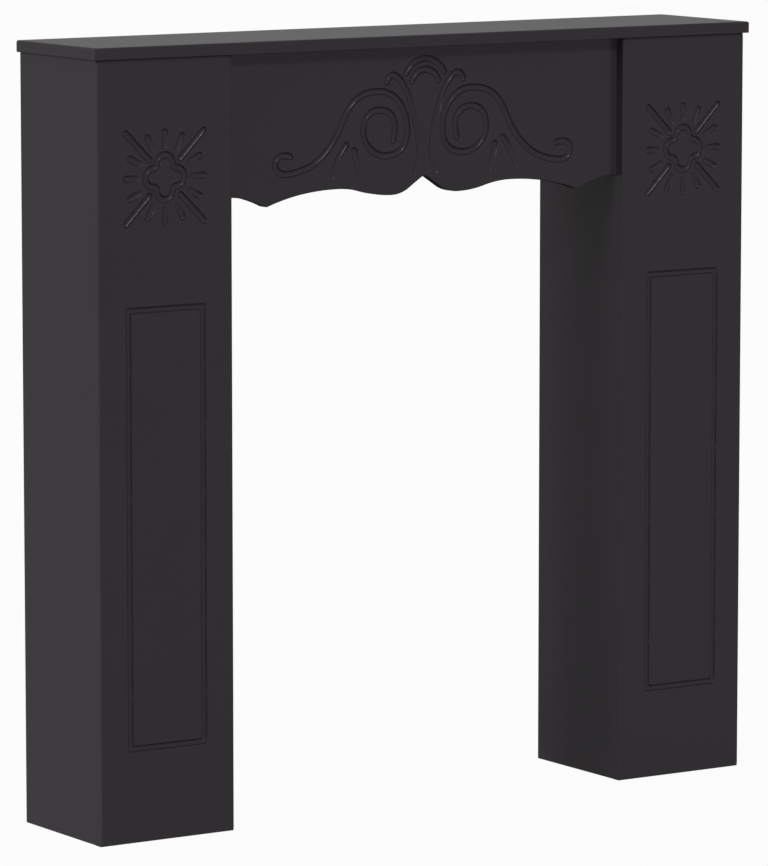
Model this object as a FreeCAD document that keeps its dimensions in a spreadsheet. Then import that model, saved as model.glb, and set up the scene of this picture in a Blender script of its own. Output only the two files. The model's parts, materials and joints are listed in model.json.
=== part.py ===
import FreeCAD, Part
import math
import os
import re

from FreeCAD import Placement, Rotation, Vector

# Driving dimensions in millimetres. X runs to the right, Y to the back, Z up; the origin is on the
# floor, at the middle of the surround. A drop is measured down from the underside of the shelf.
SIZES = {
    "overall_width": 1000,
    "overall_depth": 195,
    "overall_height": 1000,
    "shelf_thickness": 15,
    "shelf_overhang": 5,
    "shelf_edge_radius": 2.5,
    "panel_thickness": 15,
    "pilaster_width": 195,
    "front_edge_radius": 2,
    "rail_height": 60,
    "batten_size": 20,
    "header_batten_gap": 31.5,
    "glue_block_leg": 20,
    "glue_block_length": 80,
    "header_peak_drop": 165.5,
    "header_lobe_drop": 189.5,
    "header_arch_drop": 178,
    "header_tip_drop": 196,
    "header_end_drop": 181.5,
    "header_corner_radius": 4,
    "header_edge_radius": 2,
    "carving_radius": 4.6,
    "carving_depth": 4.2,
    "carving_faded_depth": 1.6,
    "scroll_margin": 73,
    "scroll_base_drop": 161,
    "scroll_height": 144,
    "rosette_drop": 149,
    "rosette_lobe_radius": 11.5,
    "rosette_lobe_offset": 16.5,
    "rosette_notch_radius": 6,
    "rosette_ray_start": 40,
    "rosette_ray_end": 56.5,
    "rosette_ray_depth": 3.9,
    "rosette_ray_faded_depth": 2.4,
    "rosette_diagonal_start": 32,
    "rosette_diagonal_end": 79.5,
    "rosette_ray_spread": 26.5,
    "frame_groove_radius": 4,
    "frame_groove_depth": 3.8,
    "frame_side_margin": 43.5,
    "frame_top_drop": 313,
    "frame_bottom_rise": 120,
    "dowel_diameter": 8,
    "dowel_face_depth": 10,
    "dowel_edge_depth": 20,
    "dowel_chamfer": 1,
    "dowel_clearance": 0.1,
    "dowel_end_gap": 0.5,
    "dowel_end_inset": 60,
    "dowel_edge_inset": 40,
    "rail_dowel_spacing": 30,
    "angle_leg": 40,
    "angle_width": 20,
    "angle_thickness": 2,
    "angle_hole_offset": 25,
    "angle_hole_diameter": 5,
    "wall_bracket_spacing": 300,
    "bracket_screw_diameter": 3.5,
    "bracket_screw_head": 7,
    "bracket_screw_cross": 3.4,
    "batten_screw_diameter": 4,
    "batten_screw_head": 8,
    "batten_screw_cross": 4.2,
    "screw_head_height": 2,
    "screw_crown_radius": 1.2,
    "screw_slot": 0.9,
    "screw_slot_depth": 1.2,
    "screw_bite": 10,
    "screw_clearance": 0.1,
}

# Lower edge of the header from its middle to its end: share of the half opening, drop, and the
# headings in degrees at which the edge arrives and leaves, 0 running outwards and 90 up.
HEADER_EDGE = (
    (0, "header_peak_drop", None, -32),
    (0.168, "header_lobe_drop", 0, 0),
    (0.446, "header_arch_drop", 0, 0),
    (0.798, "header_tip_drop", -20, 27),
    (1, "header_end_drop", -4, None),
)

# Strokes of the right half of the header's carving: distance from the middle, height above the
# carving's base, heading in degrees. They are drawn for a carving that reaches SCROLL_REACH each way
# and is SCROLL_HEIGHT high.
SCROLL_REACH = 227
SCROLL_HEIGHT = 144
SCROLL_STROKE = (
    (204, 27.5, 25), (214.5, 29, 0), (227, 18.5, -90), (211, 5.5, 180), (180, 11.5, 161),
    (150, 31.5, 136), (135, 50.5, 122), (120, 79, 120), (103, 97, 147), (72, 104.8, 180),
    (41, 91.5, 228), (27, 53, 270), (37, 29, 322), (60, 22.2, 0), (84, 32, 43),
    (94.5, 54, 90), (87, 75, 137), (71, 81, 180), (50, 71.5, 236), (46.3, 58, 270), (48.5, 42, 278),
)
STEM_STROKE = (
    (58.5, 116.5, 100), (50, 124.7, 180), (38, 118, 228), (27, 100, 246),
    (18.5, 77, 253), (12, 49, 260), (9, 24, 270), (16, 0, 292),
)
LEAF_STROKES = (
    ((120, 38.5, -48), (141, 0, -72)),
    ((108, 31, -100), (100, 0, -106)),
)
# Palmette arches over the middle: half width and height of the ends, height of the top.
PALMETTE_ARCHES = ((29, 126.5, 144), (20, 116, 130.5))

BODY_HALF = "(overall_width / 2 - shelf_overhang)"
OPENING_HALF = f"({BODY_HALF} - pilaster_width)"
FRONT = "(shelf_overhang - overall_depth / 2)"
JOINT = f"({FRONT} + panel_thickness)"
BACK = "(overall_depth / 2)"
TOP = "(overall_height - shelf_thickness)"
HEADER_BACK = f"({JOINT} + panel_thickness)"
OUTER_MIDDLE = f"({BODY_HALF} - panel_thickness / 2)"
OUTER_INSIDE = f"({BODY_HALF} - panel_thickness)"
INNER_MIDDLE = f"({OPENING_HALF} + panel_thickness / 2)"
INNER_INSIDE = f"({OPENING_HALF} + panel_thickness)"

BATTEN_BACK = f"({HEADER_BACK} + batten_size)"
BATTEN_LENGTH = "(header_end_drop - header_batten_gap)"
DOWEL_LENGTH = "(dowel_face_depth + dowel_edge_depth)"

# Drops of the fixings at the header's ends: dowels into the sides, screws from the upright battens
# into the header, and screws from them into the sides, the upper one below the shelf batten's end.
HEADER_DOWELS = (f"0.25 * {BATTEN_LENGTH}", f"0.85 * {BATTEN_LENGTH}")
UPRIGHT_TO_HEADER = (f"0.4 * {BATTEN_LENGTH}", f"0.65 * {BATTEN_LENGTH}")
UPRIGHT_TO_SIDE = ("(batten_size + batten_screw_head)", f"0.75 * {BATTEN_LENGTH}")
# Screws of the shelf batten, as shares of the half opening from the middle.
BATTEN_TO_SHELF = (-0.6, 0, 0.6)
BATTEN_TO_HEADER = (-0.4, 0.4)

ALONG_X = Vector(1, 0, 0)
ALONG_Y = Vector(0, 1, 0)
ALONG_Z = Vector(0, 0, 1)
SIDES = {"left": -1, "right": 1}
# Numbers of the circles at a cylinder's start and end among its edges.
START_EDGE, END_EDGE = 2, 3
FRONT_DOWELS_PER_EDGE = 4

doc = FreeCAD.newDocument("fireplace_surround")
sheet = doc.addObject("Spreadsheet::Sheet", "Sizes")
for row, (alias, size) in enumerate(SIZES.items(), start=1):
    sheet.set(f"A{row}", alias)
    sheet.set(f"B{row}", str(size))
    sheet.setAlias(f"B{row}", alias)
doc.recompute()

subparts = []
holes = []


def bound(formula):
    """The formula with every size in it read from the sheet."""
    return re.sub(r"[a-z_]+", lambda word: f"Sizes.{word.group()}", str(formula))


def value(formula):
    """The formula's present value in millimetres."""
    return float(sheet.evalExpression(bound(formula)))


def set_base(item, corner):
    for axis, formula in zip("xyz", corner):
        item.setExpression(f"Placement.Base.{axis}", bound(formula))


def keep(item, label):
    """Marks a finished sub-part."""
    item.Label = label
    subparts.append(item)


def mirrored(side, near, far):
    """Span between two distances from the middle, on the left or the right."""
    if side > 0:
        return near, far
    return f"-({far})", f"-({near})"


def block(name, x, y, z):
    """Box between the low and high formulas on each axis."""
    item = doc.addObject("Part::Box", name)
    for size, (low, high) in zip(("Length", "Width", "Height"), (x, y, z)):
        item.setExpression(size, bound(f"{high} - ({low})"))
    set_base(item, (x[0], y[0], z[0]))
    return item


def rod(name, start, direction, diameter, length):
    """Cylinder from a point along a direction."""
    item = doc.addObject("Part::Cylinder", name)
    item.setExpression("Radius", bound(f"({diameter}) / 2"))
    item.setExpression("Height", bound(length))
    item.Placement = Placement(Vector(), Rotation(ALONG_Z, direction))
    set_base(item, start)
    return item


def shifted(point, direction, distance):
    """The point moved along a direction by a formula."""
    return tuple(f"({start}) + ({step}) * ({distance})" for start, step in zip(point, direction))


def rounded(item, face_position, axis, radius):
    """Rounds the edges of the box face that lies at a position on an axis."""
    doc.recompute()
    edges = []
    for number, edge in enumerate(item.Shape.Edges, start=1):
        if all(abs(vertex.Point.dot(axis) - face_position) < 1e-6 for vertex in edge.Vertexes):
            edges.append((number, radius, radius))
    fillet = doc.addObject("Part::Fillet", f"{item.Name}_rounded")
    fillet.Base = item
    fillet.Edges = edges
    return fillet


def group(label, items):
    """One sub-part of several separate solids."""
    compound = doc.addObject("Part::Compound", label)
    compound.Links = items
    keep(compound, label)


def dowels(label, spots, direction):
    """Dowels across a joint; each spot lies in the joint and the direction points into the edge."""
    chamfer = value("dowel_chamfer")
    pegs = []
    for number, spot in enumerate(spots, start=1):
        start = shifted(spot, direction, "-dowel_face_depth")
        peg = rod(f"{label}_rod_{number}", start, direction, "dowel_diameter", DOWEL_LENGTH)
        eased = doc.addObject("Part::Chamfer", f"{label}_{number}")
        eased.Base = peg
        eased.Edges = [(START_EDGE, chamfer, chamfer), (END_EDGE, chamfer, chamfer)]
        pegs.append(eased)
        bottom = shifted(spot, direction, "-(dowel_face_depth + dowel_end_gap)")
        holes.append(rod(
            f"{label}_hole_{number}", bottom, direction,
            "dowel_diameter + dowel_clearance", f"{DOWEL_LENGTH} + 2 * dowel_end_gap",
        ))
    return pegs


def screw_cross(name, crown, direction, width):
    """Two crossing slots for a driver, sunk into a screw's crown along its direction."""
    turn = Rotation(ALONG_Z, direction)
    across = [Vector(*(round(step) for step in turn.multVec(axis))) for axis in (ALONG_X, ALONG_Y)]
    slots = []
    for number, sizes in enumerate(((width, "screw_slot"), ("screw_slot", width)), start=1):
        slot = doc.addObject("Part::Box", f"{name}_slot_{number}")
        slot.setExpression("Height", bound("screw_slot_depth"))
        corner = crown
        for side, size, step in zip(("Length", "Width"), sizes, across):
            slot.setExpression(side, bound(size))
            corner = shifted(corner, step, f"-{size} / 2")
        slot.Placement = Placement(Vector(), turn)
        set_base(slot, corner)
        slots.append(slot)
    cross = doc.addObject("Part::Fuse", f"{name}_cross")
    cross.Base, cross.Tool = slots
    return cross


def screw_head(name, crown, direction, kind):
    """Pan head with a rounded crown and a cross for the driver."""
    radius = value("screw_crown_radius")
    pan = doc.addObject("Part::Fillet", f"{name}_pan")
    pan.Base = rod(f"{name}_disc", crown, direction, f"{kind}_screw_head", "screw_head_height")
    pan.Edges = [(START_EDGE, radius, radius)]
    head = doc.addObject("Part::Cut", f"{name}_head")
    head.Base = pan
    head.Tool = screw_cross(name, crown, direction, f"{kind}_screw_cross")
    return head


def screws(label, kind, grip, seats):
    """Screws of one kind through a thickness; a seat is the point under the head and a direction."""
    made = []
    length = f"{grip} + screw_bite"
    for number, (seat, direction) in enumerate(seats, start=1):
        name = f"{label}_{number}"
        shank = rod(f"{name}_shank", seat, direction, f"{kind}_screw_diameter", length)
        crown = shifted(seat, direction, "-screw_head_height")
        screw = doc.addObject("Part::Fuse", name)
        screw.Base = screw_head(name, crown, direction, kind)
        screw.Tool = shank
        made.append(screw)
        holes.append(rod(
            f"{name}_hole", seat, direction,
            f"{kind}_screw_diameter + screw_clearance", f"{length} + screw_clearance",
        ))
    group(label, made)


def drilled(label, blank):
    """The blank with every dowel and screw hole that reaches it."""
    tool = doc.addObject("Part::Compound", f"{label}_drilling")
    tool.Links = [hole for hole in holes if hole.Shape.BoundBox.intersect(blank.Shape.BoundBox)]
    cut = doc.addObject("Part::Cut", f"{label}_drilled")
    cut.Base = blank
    cut.Tool = tool
    return cut


def heading(degrees):
    """Unit vector in the XZ plane."""
    angle = math.radians(degrees)
    return Vector(math.cos(angle), 0, math.sin(angle))


def arc_from(start, leave, end):
    """Edge from start to end that leaves start along a unit vector, straight or round."""
    chord = end - start
    along = leave.dot(chord) / chord.Length
    lean = leave - chord * (along / chord.Length)
    if lean.Length < 1e-6:
        return Part.LineSegment(start, end).toShape()
    middle = (start + end) * 0.5 + lean * (chord.Length / 2 / (1 + along))
    return Part.Arc(start, middle, end).toShape()


def biarc(start, leave, end, arrive):
    """Two tangent arcs from start to end that leave and arrive along unit vectors."""
    chord = end - start
    both = leave + arrive
    turn = 2 * (1 - leave.dot(arrive))
    along = chord.dot(both)
    if turn < 1e-9:
        reach = chord.dot(chord) / (4 * chord.dot(arrive))
    else:
        reach = (math.sqrt(along ** 2 + turn * chord.dot(chord)) - along) / turn
    middle = (start + end + (leave - arrive) * reach) * 0.5
    crossing = (chord - both * reach).normalize()
    return [arc_from(start, leave, middle), arc_from(middle, crossing, end)]


def stroke(nodes):
    """Chain of tangent arcs through nodes of point and unit vector."""
    edges = []
    for (start, leave), (end, arrive) in zip(nodes, nodes[1:]):
        edges += biarc(start, leave, end, arrive)
    return edges


def groove(edges, radius, rise=0):
    """Path of a round-nosed cutter along edges, lifted out of the board by a rise at its far end."""
    path = Part.Wire(edges)
    start = edges[0].valueAt(edges[0].FirstParameter)
    end = edges[-1].valueAt(edges[-1].LastParameter)
    leave = edges[0].tangentAt(edges[0].FirstParameter)
    section = Part.Wire(Part.Circle(start, leave, radius).toShape())
    tube = path.makePipeShell([section], True, False)
    tool = tube.fuse([Part.makeSphere(radius, start), Part.makeSphere(radius, end)])
    if rise:
        chord = end - start
        tilt = math.degrees(math.asin(rise / chord.Length))
        tool.rotate(start, chord.cross(ALONG_Y), -tilt)
    return tool


def carved(label, kind, board, face, tools):
    """The board with grooves of one kind cut into its front face."""
    carving = doc.addObject("Part::Feature", f"{label}_{kind}")
    carving.Shape = Part.makeCompound(tools)
    carving.Placement = Placement(Vector(0, value(f"{face} - ({kind}_radius - {kind}_depth)"), 0), Rotation())
    cut = doc.addObject("Part::Cut", f"{label}_{kind}_cut")
    cut.Base = board
    cut.Tool = carving
    return cut


def header_blank():
    """Header board with its scalloped lower edge, rounded at the front."""
    half = value(OPENING_HALF)
    top = value(TOP)
    nodes = [
        (Vector(share * half, 0, top - value(drop)), arrive, leave)
        for share, drop, arrive, leave in HEADER_EDGE
    ]
    right = []
    for (start, _, leave), (end, arrive, _) in zip(nodes, nodes[1:]):
        right += biarc(start, heading(leave), end, heading(arrive))
    left = [edge.mirror(Vector(), ALONG_X) for edge in right]
    low_right = nodes[-1][0]
    low_left = Vector(-half, 0, low_right.z)
    high_right = Vector(half, 0, top)
    high_left = Vector(-half, 0, top)
    straight = [
        Part.LineSegment(low_right, high_right).toShape(),
        Part.LineSegment(high_right, high_left).toShape(),
        Part.LineSegment(high_left, low_left).toShape(),
    ]
    outline = Part.Wire(Part.sortEdges(right + left + straight)[0])
    board = Part.Face(outline).extrude(ALONG_Y * value("panel_thickness"))
    corners = [point for point, arrive, leave in nodes[:-1] if arrive != leave]
    corners += [Vector(-point.x, 0, point.z) for point in corners if point.x]
    arrises = [
        edge for edge in board.Edges
        if any(corner.distanceToLine(edge.Vertexes[0].Point, ALONG_Y) < 1e-6 for corner in corners)
        and edge.tangentAt(edge.FirstParameter).cross(ALONG_Y).Length < 1e-6
    ]
    board = board.makeFillet(value("header_corner_radius"), arrises)
    front_edges = [
        edge for edge in board.Edges
        if edge.BoundBox.YMax < 1e-6 and edge.BoundBox.ZMax < top - 1e-6
    ]
    item = doc.addObject("Part::Feature", "header_blank")
    item.Shape = board.makeFillet(value("header_edge_radius"), front_edges)
    item.Placement = Placement(Vector(0, value(JOINT), 0), Rotation())
    return item


def header_grooves():
    """Scrolls, stems and leaves of both halves and the palmette between them."""
    radius = value("carving_radius")
    fade = value("carving_depth - carving_faded_depth")
    widen = (value(OPENING_HALF) - value("scroll_margin")) / SCROLL_REACH
    heighten = value("scroll_height") / SCROLL_HEIGHT
    base = value(f"{TOP} - scroll_base_drop")

    def spot(across, up):
        return Vector(across * widen, 0, base + up * heighten)

    def nodes(points):
        placed = []
        for across, up, degrees in points:
            course = heading(degrees)
            course.x *= widen
            course.z *= heighten
            placed.append((spot(across, up), course.normalize()))
        return placed

    half = [groove(stroke(nodes(SCROLL_STROKE)), radius), groove(stroke(nodes(STEM_STROKE)), radius, fade)]
    half += [groove(stroke(nodes(points)), radius, fade) for points in LEAF_STROKES]
    tools = half + [tool.mirror(Vector(), ALONG_X) for tool in half]
    for across, end_height, top_height in PALMETTE_ARCHES:
        arch = Part.Arc(spot(-across, end_height), spot(0, top_height), spot(across, end_height))
        tools.append(groove([arch.toShape()], radius))
    return tools


def rosette_grooves(centre):
    """Quatrefoil with four long diagonal rays and twelve short ones between them."""
    radius = value("carving_radius")
    outer_lift = ALONG_Y * value("rosette_ray_depth - carving_depth")
    inner_lift = ALONG_Y * value("rosette_ray_faded_depth - carving_depth")
    lobe_radius = value("rosette_lobe_radius")
    lobe_offset = value("rosette_lobe_offset")
    notch_radius = value("rosette_notch_radius")
    # Centre of a notch's arc: on the diagonal, touching the two lobes beside it from outside.
    reach = lobe_radius + notch_radius
    notch_offset = (lobe_offset + math.sqrt(2 * reach ** 2 - lobe_offset ** 2)) / 2
    tools = []
    for quarter in range(4):
        axis = heading(90 * quarter)
        diagonal = heading(90 * quarter + 45)
        lobe = centre + axis * lobe_offset
        notch = centre + diagonal * (notch_offset * math.sqrt(2))
        before = centre + heading(90 * quarter - 45) * (notch_offset * math.sqrt(2))
        lobe_start = lobe + (before - lobe).normalize() * lobe_radius
        lobe_end = lobe + (notch - lobe).normalize() * lobe_radius
        next_lobe = centre + heading(90 * quarter + 90) * lobe_offset
        notch_end = next_lobe + (notch - next_lobe).normalize() * lobe_radius
        outline = [
            Part.Arc(lobe_start, lobe + axis * lobe_radius, lobe_end).toShape(),
            Part.Arc(lobe_end, notch - diagonal * notch_radius, notch_end).toShape(),
        ]
        tools.append(groove(outline, radius))
        long_ray = Part.LineSegment(
            centre + diagonal * value("rosette_diagonal_start"),
            centre + diagonal * value("rosette_diagonal_end"),
        )
        tools.append(groove([long_ray.toShape()], radius))
        for spread in (-1, 0, 1):
            course = heading(90 * quarter + spread * value("rosette_ray_spread"))
            short_ray = Part.LineSegment(
                centre + course * value("rosette_ray_end") + outer_lift,
                centre + course * value("rosette_ray_start") + inner_lift,
            )
            tools.append(groove([short_ray.toShape()], radius))
    return tools


def frame_grooves(middle):
    """Rectangle of four straight grooves that meet at its corners."""
    radius = value("frame_groove_radius")
    half = value("pilaster_width / 2 - frame_side_margin")
    top = value(f"{TOP} - frame_top_drop")
    bottom = value("frame_bottom_rise")
    corners = [
        Vector(middle + side * half, 0, height)
        for side, height in ((-1, bottom), (1, bottom), (1, top), (-1, top))
    ]
    lines = [
        groove([Part.LineSegment(start, end).toShape()], radius)
        for start, end in zip(corners, corners[1:] + corners[:1])
    ]
    return [lines[0].multiFuse(lines[1:])]


def pilaster_boards(name, side):
    """Blanks of one pilaster."""
    inside = mirrored(side, INNER_INSIDE, OUTER_INSIDE)
    behind = (f"{BACK} - panel_thickness", BACK)
    front = block(f"{name}_front_board", mirrored(side, OPENING_HALF, BODY_HALF), (FRONT, JOINT), (0, TOP))
    return {
        f"{name}_front_panel": rounded(front, value(FRONT), ALONG_Y, value("front_edge_radius")),
        f"{name}_outer_side": block(
            f"{name}_outer_board", mirrored(side, OUTER_INSIDE, BODY_HALF), (JOINT, BACK), (0, TOP)),
        f"{name}_inner_side": block(
            f"{name}_inner_board", mirrored(side, OPENING_HALF, INNER_INSIDE), (JOINT, BACK), (0, TOP)),
        f"{name}_base_plate": block(
            f"{name}_base_board", inside, (JOINT, BACK), (0, "panel_thickness")),
        f"{name}_lower_back_rail": block(
            f"{name}_lower_rail_board", inside, behind, ("panel_thickness", "panel_thickness + rail_height")),
        f"{name}_upper_back_rail": block(
            f"{name}_upper_rail_board", inside, behind, (f"{TOP} - rail_height", TOP)),
    }


def pilaster_dowels(name, side):
    """Dowels that hold one pilaster's box together."""
    front_spots = []
    for middle in (OUTER_MIDDLE, INNER_MIDDLE):
        for number in range(FRONT_DOWELS_PER_EDGE):
            share = number / (FRONT_DOWELS_PER_EDGE - 1)
            height = f"dowel_end_inset + {share} * ({TOP} - 2 * dowel_end_inset)"
            front_spots.append((f"{side} * {middle}", JOINT, height))
    group(f"{name}_front_dowels", dowels(f"{name}_front_dowel", front_spots, ALONG_Y))

    base_pegs = []
    rail_pegs = []
    rail_middles = ("panel_thickness + rail_height / 2", f"{TOP} - rail_height / 2")
    for inside, inward in ((OUTER_INSIDE, -side), (INNER_INSIDE, side)):
        joint = f"{side} * {inside}"
        tag = "outer" if inside == OUTER_INSIDE else "inner"
        base_spots = [
            (joint, depth, "panel_thickness / 2")
            for depth in (f"{JOINT} + dowel_edge_inset", f"{BACK} - dowel_edge_inset")
        ]
        base_pegs += dowels(f"{name}_base_{tag}_dowel", base_spots, ALONG_X * inward)
        rail_spots = [
            (joint, f"{BACK} - panel_thickness / 2", f"{middle} + ({offset}) * rail_dowel_spacing")
            for middle in rail_middles for offset in (-0.5, 0.5)
        ]
        rail_pegs += dowels(f"{name}_rail_{tag}_dowel", rail_spots, ALONG_X * inward)
    group(f"{name}_base_dowels", base_pegs)
    group(f"{name}_rail_dowels", rail_pegs)


def glue_blocks(name, side):
    """Triangular blocks glued into the front corners of one pilaster."""
    blocks = []
    for tag, corner, inward in (("outer", OUTER_INSIDE, -side), ("inner", INNER_INSIDE, side)):
        for level in (1, 2):
            wedge = doc.addObject("Part::Wedge", f"{name}_{tag}_glue_block_{level}")
            for flat in ("Xmin", "Ymin", "Zmin", "X2min", "X2max", "Z2min"):
                setattr(wedge, flat, 0)
            for leg in ("Xmax", "Ymax"):
                wedge.setExpression(leg, bound("glue_block_leg"))
            for length in ("Zmax", "Z2max"):
                wedge.setExpression(length, bound("glue_block_length"))
            if inward < 0:
                wedge.Placement = Placement(Vector(), Rotation(ALONG_Y, 180))
            start = f"{TOP} * {level} / 3 - ({inward}) * glue_block_length / 2"
            set_base(wedge, (f"{side} * {corner}", JOINT, start))
            blocks.append(wedge)
    group(f"{name}_glue_blocks", blocks)


def angle_bracket(name, lying, hanging):
    """Steel angle under the shelf: X and Y spans of its lying leg and of its hanging leg."""
    angle = doc.addObject("Part::Fuse", name)
    angle.Base = block(f"{name}_lying", *lying, (f"{TOP} - angle_thickness", TOP))
    angle.Tool = block(f"{name}_hanging", *hanging, (f"{TOP} - angle_leg", f"{TOP} - angle_thickness"))
    return angle


def pilaster_brackets(name, side):
    """Angles between the shelf and the two side panels of one pilaster, and their screws."""
    middle = f"({JOINT} + {BACK}) / 2"
    width = (f"{middle} - angle_width / 2", f"{middle} + angle_width / 2")
    angles = []
    seats = []
    for tag, inside, inward in (("outer", OUTER_INSIDE, -side), ("inner", INNER_INSIDE, side)):
        joint = f"{side} * {inside}"
        spans = []
        for length in ("angle_leg", "angle_thickness"):
            ends = (joint, f"{joint} + ({inward}) * {length}")
            spans.append((ends if inward > 0 else ends[::-1], width))
        angles.append(angle_bracket(f"{name}_{tag}_angle", *spans))
        along = f"{joint} + ({inward}) * angle_hole_offset"
        seats.append(((along, middle, f"{TOP} - angle_thickness"), ALONG_Z))
        surface = f"{joint} + ({inward}) * angle_thickness"
        seats.append(((surface, middle, f"{TOP} - angle_hole_offset"), ALONG_X * -inward))
    screws(f"{name}_bracket_screws", "bracket", "angle_thickness", seats)
    return angles


def wall_brackets():
    """Angles at the back of the shelf with a hole for a wall screw, and the screws under the shelf."""
    angles = []
    seats = []
    for name, side in SIDES.items():
        middle = f"{side} * wall_bracket_spacing / 2"
        width = (f"{middle} - angle_width / 2", f"{middle} + angle_width / 2")
        lying = (width, (f"{BACK} - angle_leg", BACK))
        hanging = (width, (f"{BACK} - angle_thickness", BACK))
        angles.append(angle_bracket(f"{name}_wall_angle", lying, hanging))
        seats.append(((middle, f"{BACK} - angle_hole_offset", f"{TOP} - angle_thickness"), ALONG_Z))
        inner_face = (middle, f"{BACK} - 2 * angle_thickness", f"{TOP} - angle_hole_offset")
        holes.append(rod(
            f"{name}_wall_hole", inner_face, ALONG_Y, "angle_hole_diameter", "3 * angle_thickness"))
    screws("wall_bracket_screws", "bracket", "angle_thickness", seats)
    return angles


def header_battens():
    """Blanks of the two upright battens behind the header's ends and the one behind its top."""
    inner_end = f"({OPENING_HALF} - batten_size)"
    depth = (HEADER_BACK, BATTEN_BACK)
    blanks = {}
    for name, side in SIDES.items():
        blanks[f"{name}_header_batten"] = block(
            f"{name}_batten_blank", mirrored(side, inner_end, OPENING_HALF), depth,
            (f"{TOP} - {BATTEN_LENGTH}", TOP))
    blanks["shelf_batten"] = block(
        "shelf_batten_blank", (f"-{inner_end}", inner_end), depth, (f"{TOP} - batten_size", TOP))
    return blanks


def header_fixings():
    """Dowels into the header's ends and the screws through its battens."""
    pegs = []
    upright_seats = []
    batten_middle = f"({HEADER_BACK} + batten_size / 2)"
    for name, side in SIDES.items():
        end = f"{side} * {OPENING_HALF}"
        spots = [
            (end, f"{JOINT} + panel_thickness / 2", f"{TOP} - {drop}")
            for drop in HEADER_DOWELS
        ]
        pegs += dowels(f"{name}_header_dowel", spots, ALONG_X * -side)
        for drop in UPRIGHT_TO_HEADER:
            across = f"{side} * ({OPENING_HALF} - batten_size / 2)"
            upright_seats.append(((across, BATTEN_BACK, f"{TOP} - {drop}"), -ALONG_Y))
        for drop in UPRIGHT_TO_SIDE:
            across = f"{side} * ({OPENING_HALF} - batten_size)"
            upright_seats.append(((across, batten_middle, f"{TOP} - {drop}"), ALONG_X * side))
    group("header_dowels", pegs)
    screws("header_batten_screws", "batten", "batten_size", upright_seats)
    shelf_seats = [
        ((f"({share}) * {OPENING_HALF}", batten_middle, f"{TOP} - batten_size"), ALONG_Z)
        for share in BATTEN_TO_SHELF
    ]
    shelf_seats += [
        ((f"({share}) * {OPENING_HALF}", BATTEN_BACK, f"{TOP} - batten_size / 2"), -ALONG_Y)
        for share in BATTEN_TO_HEADER
    ]
    screws("shelf_batten_screws", "batten", "batten_size", shelf_seats)


def shelf_dowels():
    """Dowels between the shelf and the top edges of the four side panels."""
    spots = []
    for side in SIDES.values():
        for middle in (OUTER_MIDDLE, INNER_MIDDLE):
            for depth in (f"{JOINT} + dowel_edge_inset", f"{BACK} - dowel_edge_inset"):
                spots.append((f"{side} * {middle}", depth, TOP))
    group("shelf_dowels", dowels("shelf_dowel", spots, -ALONG_Z))


def shelf_blank():
    width = ("-overall_width / 2", "overall_width / 2")
    board = block("shelf_board", width, (f"-{BACK}", BACK), (TOP, "overall_height"))
    return rounded(board, value("overall_height"), ALONG_Z, value("shelf_edge_radius"))


def check():
    """Stops if any object failed or any sub-part is not a sound solid."""
    for item in doc.Objects:
        if {"Invalid", "Error"} & set(item.State):
            raise RuntimeError(f"{item.Name} failed: {item.State}")
    for item in subparts:
        if item.Shape.isNull() or not item.Shape.isValid() or not item.Shape.Solids:
            raise RuntimeError(f"{item.Label} has no valid solid")


boards = {"mantel_shelf": shelf_blank(), "header_panel": header_blank(), **header_battens()}
brackets = {"wall_brackets": wall_brackets()}
carvings = {"header_panel": [("carving", JOINT, header_grooves())]}
for name, side in SIDES.items():
    boards.update(pilaster_boards(name, side))
    pilaster_dowels(name, side)
    glue_blocks(name, side)
    brackets[f"{name}_shelf_brackets"] = pilaster_brackets(name, side)
    middle = side * value(f"{BODY_HALF} - pilaster_width / 2")
    rosette_centre = Vector(middle, 0, value(f"{TOP} - rosette_drop"))
    carvings[f"{name}_front_panel"] = [
        ("carving", FRONT, rosette_grooves(rosette_centre)),
        ("frame_groove", FRONT, frame_grooves(middle)),
    ]
header_fixings()
shelf_dowels()
doc.recompute()

for label, board in boards.items():
    board = drilled(label, board)
    for kind, face, tools in carvings.get(label, []):
        board = carved(label, kind, board, face, tools)
    keep(board, label)
for label, angles in brackets.items():
    group(label, [drilled(angle.Name, angle) for angle in angles])
doc.recompute()
check()

os.makedirs("parts", exist_ok=True)
for item in subparts:
    item.Shape.exportStep(f"parts/{item.Label}.step")
    print(f"{item.Label}: {len(item.Shape.Solids)} solids, {item.Shape.Volume:.0f} mm3")
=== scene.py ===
import json
import math
from collections import namedtuple

import bmesh
import bpy
import numpy as np
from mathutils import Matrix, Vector
from mathutils.geometry import delaunay_2d_cdt
from mathutils.kdtree import KDTree


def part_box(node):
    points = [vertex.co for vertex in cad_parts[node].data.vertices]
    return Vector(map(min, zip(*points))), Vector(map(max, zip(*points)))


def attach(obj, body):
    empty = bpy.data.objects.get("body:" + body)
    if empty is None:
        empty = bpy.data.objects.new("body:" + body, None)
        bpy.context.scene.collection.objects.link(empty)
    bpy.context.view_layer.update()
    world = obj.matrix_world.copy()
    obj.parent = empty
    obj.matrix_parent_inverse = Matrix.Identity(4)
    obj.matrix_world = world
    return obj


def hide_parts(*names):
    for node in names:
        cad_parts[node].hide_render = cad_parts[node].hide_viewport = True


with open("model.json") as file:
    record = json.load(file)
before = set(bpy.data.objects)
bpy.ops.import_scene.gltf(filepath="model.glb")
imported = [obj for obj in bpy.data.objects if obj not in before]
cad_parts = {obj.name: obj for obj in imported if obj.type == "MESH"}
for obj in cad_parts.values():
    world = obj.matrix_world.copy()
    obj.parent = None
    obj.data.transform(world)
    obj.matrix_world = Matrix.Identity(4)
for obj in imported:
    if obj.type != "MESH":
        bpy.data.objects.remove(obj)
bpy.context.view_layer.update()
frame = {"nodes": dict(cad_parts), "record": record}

MM = 0.001

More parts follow.
